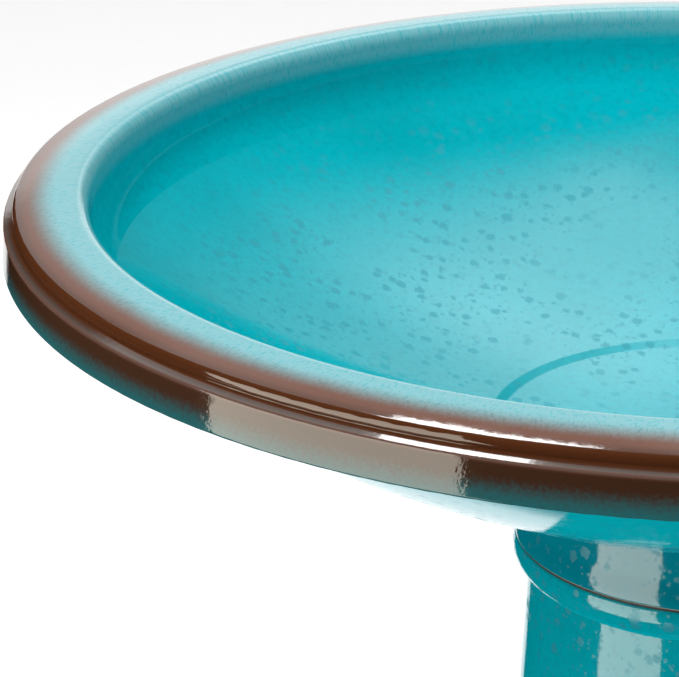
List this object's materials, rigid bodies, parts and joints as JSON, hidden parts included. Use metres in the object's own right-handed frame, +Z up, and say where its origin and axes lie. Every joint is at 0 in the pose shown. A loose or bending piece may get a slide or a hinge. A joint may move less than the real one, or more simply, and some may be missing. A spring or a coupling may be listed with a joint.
{
  "type": "bird bath",
  "caption": "Free-standing bird bath: a shallow round glazed bowl with a banded rim, resting on a hollow tapered pedestal with a flared foot.",
  "frame": {"origin": "on the ground, under the middle of the base", "axes": "+Z up along the axis of the bowl and pedestal; X and Y level, with the object round about Z"},
  "size_m": [0.433, 0.433, 0.52],
  "materials": {
    "bowl_glaze": "glossy turquoise glaze that breaks chestnut brown on the rim",
    "pedestal_glaze": "glossy turquoise glaze with dark flecks",
    "black_rubber": "matt black"
  },
  "bodies": {
    "pedestal": {"pedestal": "pedestal_glaze", "foot_pad_front": "black_rubber", "foot_pad_right": "black_rubber", "foot_pad_back": "black_rubber", "foot_pad_left": "black_rubber"},
    "seat": {"seat_gasket": "black_rubber"},
    "bowl": {"bowl": "bowl_glaze"}
  },
  "joints": [
    {"name": "bowl_turn", "type": "hinge", "parent": "pedestal", "child": "seat", "pos_m": [0, 0, 0.4074], "axis": [0, 0, 1], "continuous": true},
    {"name": "bowl_lift", "type": "slide", "parent": "seat", "child": "bowl", "axis": [0, 0, 1], "range_m": [0, 0.15]}
  ]
}
